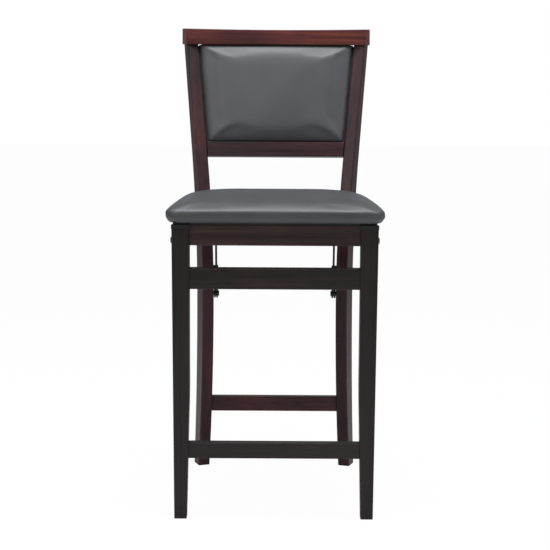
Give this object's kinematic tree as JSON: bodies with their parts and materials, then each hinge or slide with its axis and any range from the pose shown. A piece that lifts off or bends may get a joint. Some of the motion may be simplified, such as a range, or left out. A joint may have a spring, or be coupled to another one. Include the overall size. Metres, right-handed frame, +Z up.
{
  "type": "folding bar stool",
  "caption": "Counter-height folding stool in dark stained wood with a padded seat and back panel, a footrest and a folding linkage of steel arms.",
  "frame": {"origin": "on the floor under the middle of the open stool's bounding box", "axes": "+Z up, +X to the sitter's left seen from the front, +Y to the rear"},
  "size_m": [0.4294, 0.5198, 0.9729],
  "materials": {
    "wood": "satin",
    "plywood": "matte",
    "cover": "satin",
    "black_steel": "satin",
    "fastener": "satin"
  },
  "bodies": {
    "rear_frame": {"rear_post_right": "wood", "rear_post_left": "wood", "crest_rail": "wood", "back_rail": "wood", "rear_stretcher": "wood", "hinge_rail": "wood", "back_board": "plywood", "back_pad": "cover", "back_cover": "cover", "hinge_plate_right": "black_steel", "hinge_plate_left": "black_steel", "hinge_screws_right": "fastener", "hinge_screws_left": "fastener", "stop_pin_right": "black_steel", "stop_pin_left": "black_steel", "seat_pivot_bolt_right": "fastener", "seat_pivot_bolt_left": "fastener", "arm_rear_rivet_right": "black_steel", "arm_rear_rivet_left": "black_steel"},
    "front_frame": {"front_leg_right": "wood", "front_leg_left": "wood", "upper_stretcher": "wood", "footrest": "wood", "stretcher_bracket_right": "black_steel", "stretcher_bracket_left": "black_steel", "bracket_screws_right": "fastener", "bracket_screws_left": "fastener", "arm_front_rivet_right": "black_steel", "arm_front_rivet_left": "black_steel"},
    "arm_right": {"folding_arm_right": "black_steel"},
    "arm_left": {"folding_arm_left": "black_steel"},
    "seat": {"apron": "wood", "seat_side_rail_right": "wood", "seat_side_rail_left": "wood", "seat_rear_rail": "wood", "corner_block_right": "plywood", "corner_block_left": "plywood", "pivot_spacer_right": "black_steel", "pivot_spacer_left": "black_steel", "leg_pivot_bolt_right": "fastener", "leg_pivot_bolt_left": "fastener", "seat_board": "plywood", "seat_pad": "cover"}
  },
  "joints": [
    {"name": "seat_tilt", "type": "hinge", "parent": "rear_frame", "child": "seat", "pos_m": [0, 0.07814, 0.566], "axis": [-1, 0, 0], "range_deg": [0, 85]},
    {"name": "front_frame_swing", "type": "hinge", "parent": "seat", "child": "front_frame", "pos_m": [0, -0.22886, 0.558], "axis": [1, 0, 0], "range_deg": [0, 85]},
    {"name": "arm_left_swing", "type": "hinge", "parent": "rear_frame", "child": "arm_left", "pos_m": [0, 0.09914, 0.458], "axis": [-1, 0, 0], "range_deg": [0, 85]},
    {"name": "arm_right_swing", "type": "hinge", "parent": "rear_frame", "child": "arm_right", "pos_m": [0, 0.09914, 0.458], "axis": [-1, 0, 0], "range_deg": [0, 85]}
  ],
  "couplings": [
    {"joint": "front_frame_swing", "follows": "seat_tilt", "ratio": 1},
    {"joint": "arm_left_swing", "follows": "seat_tilt", "ratio": 1},
    {"joint": "arm_right_swing", "follows": "seat_tilt", "ratio": 1}
  ]
}
